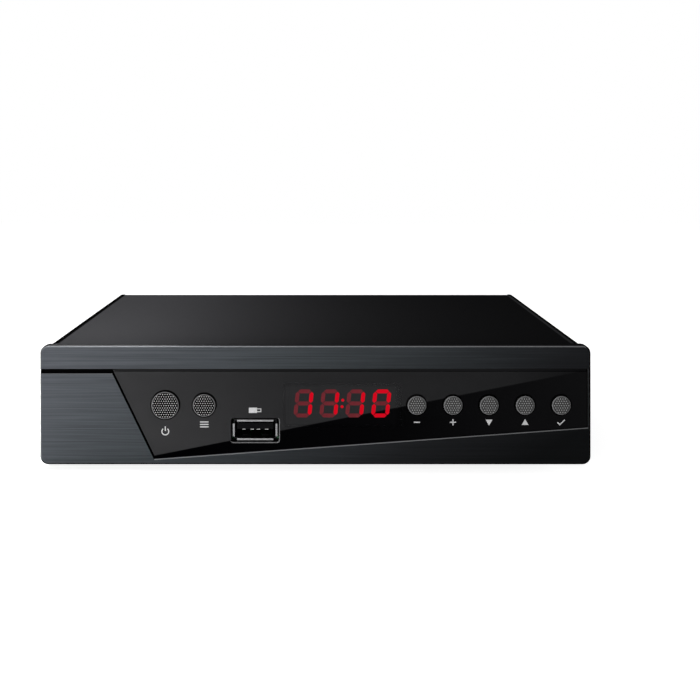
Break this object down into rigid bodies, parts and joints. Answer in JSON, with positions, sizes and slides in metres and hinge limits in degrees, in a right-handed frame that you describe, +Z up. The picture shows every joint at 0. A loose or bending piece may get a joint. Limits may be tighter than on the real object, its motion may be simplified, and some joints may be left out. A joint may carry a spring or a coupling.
{
  "type": "terrestrial television receiver",
  "caption": "Low set-top receiver: brushed front panel with a slanted smoked window, round push keys, red clock display and USB socket on a folded steel case.",
  "frame": {"origin": "on the ground, under the middle of the overall box, keys and sockets included", "axes": "+X to the right of someone facing the front panel, +Y from the panel to the rear wall, +Z up"},
  "size_m": [0.1698, 0.1142, 0.0379],
  "materials": {
    "brushed_trim": "dark grey with fine level brush lines",
    "smoked_window": "smoked, polished",
    "case_paint": "black, fine satin",
    "foot_rubber": "matt black",
    "black_screw": "black, satin",
    "zinc_screw": "zinc plated",
    "key_cap": "grey with a fine field of dots",
    "black_plastic": "moulded black",
    "board_green": "green lacquer",
    "display_black": "matt black",
    "lit_red": "lit red",
    "dim_red": "unlit dark red",
    "ribbon_grey": "grey ribbon",
    "header_cream": "cream",
    "nickel_shell": "bright nickel",
    "gold_contact": "gold flash",
    "chip_black": "matt epoxy",
    "sink_aluminium": "extruded, plain",
    "capacitor_sleeve": "dark blue sleeve",
    "coil_ferrite": "dark ferrite, matt",
    "tinplate": "bright tinplate",
    "socket_insulator": "natural white",
    "jack_yellow": "yellow",
    "jack_white": "white",
    "jack_red": "red"
  },
  "bodies": {
    "receiver": {"front_panel": "brushed_trim", "display_window": "smoked_window", "top_cover": "case_paint", "bottom_chassis": "case_paint", "feet": "foot_rubber", "cover_screws": "black_screw", "board_screws": "zinc_screw", "front_board_screws": "zinc_screw", "key_switches": "black_plastic", "usb_tongue": "black_plastic", "hdmi_tongue": "black_plastic", "av_block": "black_plastic", "dc_jack": "black_plastic", "front_board": "board_green", "main_board": "board_green", "display_block": "display_black", "infrared_receiver": "display_black", "lit_segments": "lit_red", "dim_segments": "dim_red", "ribbon_cable": "ribbon_grey", "ribbon_headers": "header_cream", "usb_shell": "nickel_shell", "hdmi_shell": "nickel_shell", "aerial_in_sleeve": "nickel_shell", "aerial_out_sleeve": "nickel_shell", "av_sleeves": "nickel_shell", "dc_pin": "nickel_shell", "usb_contacts": "gold_contact", "aerial_in_contact": "gold_contact", "aerial_out_pin": "gold_contact", "main_chip": "chip_black", "memory_chips": "chip_black", "heat_sink": "sink_aluminium", "capacitors": "capacitor_sleeve", "coils": "coil_ferrite", "crystal": "tinplate", "tuner_can": "tinplate", "tuner_lid": "tinplate", "aerial_in_insulator": "socket_insulator", "aerial_out_insulator": "socket_insulator", "video_insert": "jack_yellow", "left_audio_insert": "jack_white", "right_audio_insert": "jack_red"},
    "standby_button": {"standby_key": "key_cap", "standby_plunger": "black_plastic"},
    "menu_button": {"menu_key": "key_cap", "menu_plunger": "black_plastic"},
    "volume_down_button": {"volume_down_key": "key_cap", "volume_down_plunger": "black_plastic"},
    "volume_up_button": {"volume_up_key": "key_cap", "volume_up_plunger": "black_plastic"},
    "channel_down_button": {"channel_down_key": "key_cap", "channel_down_plunger": "black_plastic"},
    "channel_up_button": {"channel_up_key": "key_cap", "channel_up_plunger": "black_plastic"},
    "confirm_button": {"confirm_key": "key_cap", "confirm_plunger": "black_plastic"}
  },
  "joints": [
    {"name": "standby_press", "type": "slide", "parent": "receiver", "child": "standby_button", "axis": [0, 1, 0], "range_m": [0, 0.0005], "stiffness_N_per_m": 1600},
    {"name": "menu_press", "type": "slide", "parent": "receiver", "child": "menu_button", "axis": [0, 1, 0], "range_m": [0, 0.0005], "stiffness_N_per_m": 1600},
    {"name": "volume_down_press", "type": "slide", "parent": "receiver", "child": "volume_down_button", "axis": [0, 1, 0], "range_m": [0, 0.0005], "stiffness_N_per_m": 1600},
    {"name": "volume_up_press", "type": "slide", "parent": "receiver", "child": "volume_up_button", "axis": [0, 1, 0], "range_m": [0, 0.0005], "stiffness_N_per_m": 1600},
    {"name": "channel_down_press", "type": "slide", "parent": "receiver", "child": "channel_down_button", "axis": [0, 1, 0], "range_m": [0, 0.0005], "stiffness_N_per_m": 1600},
    {"name": "channel_up_press", "type": "slide", "parent": "receiver", "child": "channel_up_button", "axis": [0, 1, 0], "range_m": [0, 0.0005], "stiffness_N_per_m": 1600},
    {"name": "confirm_press", "type": "slide", "parent": "receiver", "child": "confirm_button", "axis": [0, 1, 0], "range_m": [0, 0.0005], "stiffness_N_per_m": 1600}
  ]
}
